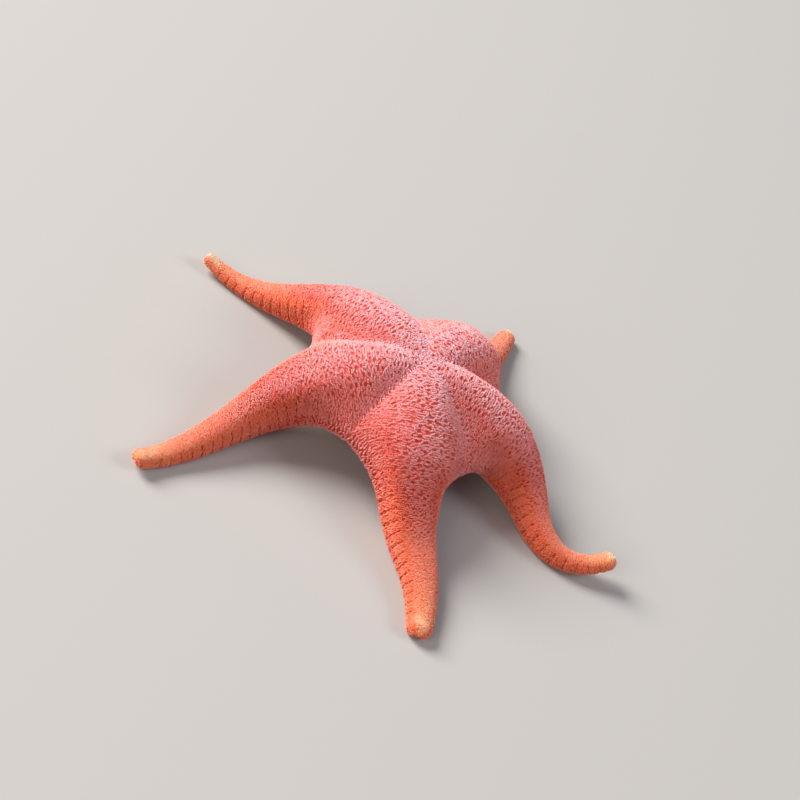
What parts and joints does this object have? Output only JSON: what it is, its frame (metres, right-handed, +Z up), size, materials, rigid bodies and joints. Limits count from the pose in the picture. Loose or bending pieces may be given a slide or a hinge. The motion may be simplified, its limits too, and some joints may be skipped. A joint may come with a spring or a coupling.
{
  "type": "starfish",
  "caption": "Life-size still model of a coral-pink starfish with a small arched disc and tapering bent arms, resting on the flattened ends of its arms.",
  "frame": {"origin": "on the floor, under the middle of the footprint (the bounding box's bottom centre)", "axes": "+Z up from the floor; +Y towards the rear arm, away from the viewer; +X to the viewer's right"},
  "size_m": [0.1116, 0.0984, 0.0242],
  "materials": {
    "back_skin": "matt, covered in fine pale spinelets",
    "arm_end_skin": "satin, finely grained, paler at the very tip",
    "mouth_skin": "soft, slightly moist",
    "sieve_plate": "chalky, finely grooved"
  },
  "bodies": {
    "root": {"disc": "back_skin", "mouth": "mouth_skin", "madreporite": "sieve_plate", "arm_rear_base": "back_skin", "arm_rear_middle": "back_skin", "arm_rear_tip": "arm_end_skin", "arm_rear_left_base": "back_skin", "arm_rear_left_middle": "back_skin", "arm_rear_left_tip": "arm_end_skin", "arm_front_left_base": "back_skin", "arm_front_left_middle": "back_skin", "arm_front_left_tip": "arm_end_skin", "arm_front_base": "back_skin", "arm_front_middle": "back_skin", "arm_front_tip": "arm_end_skin", "arm_right_base": "back_skin", "arm_right_middle": "back_skin", "arm_right_tip": "arm_end_skin"}
  },
  "joints": []
}
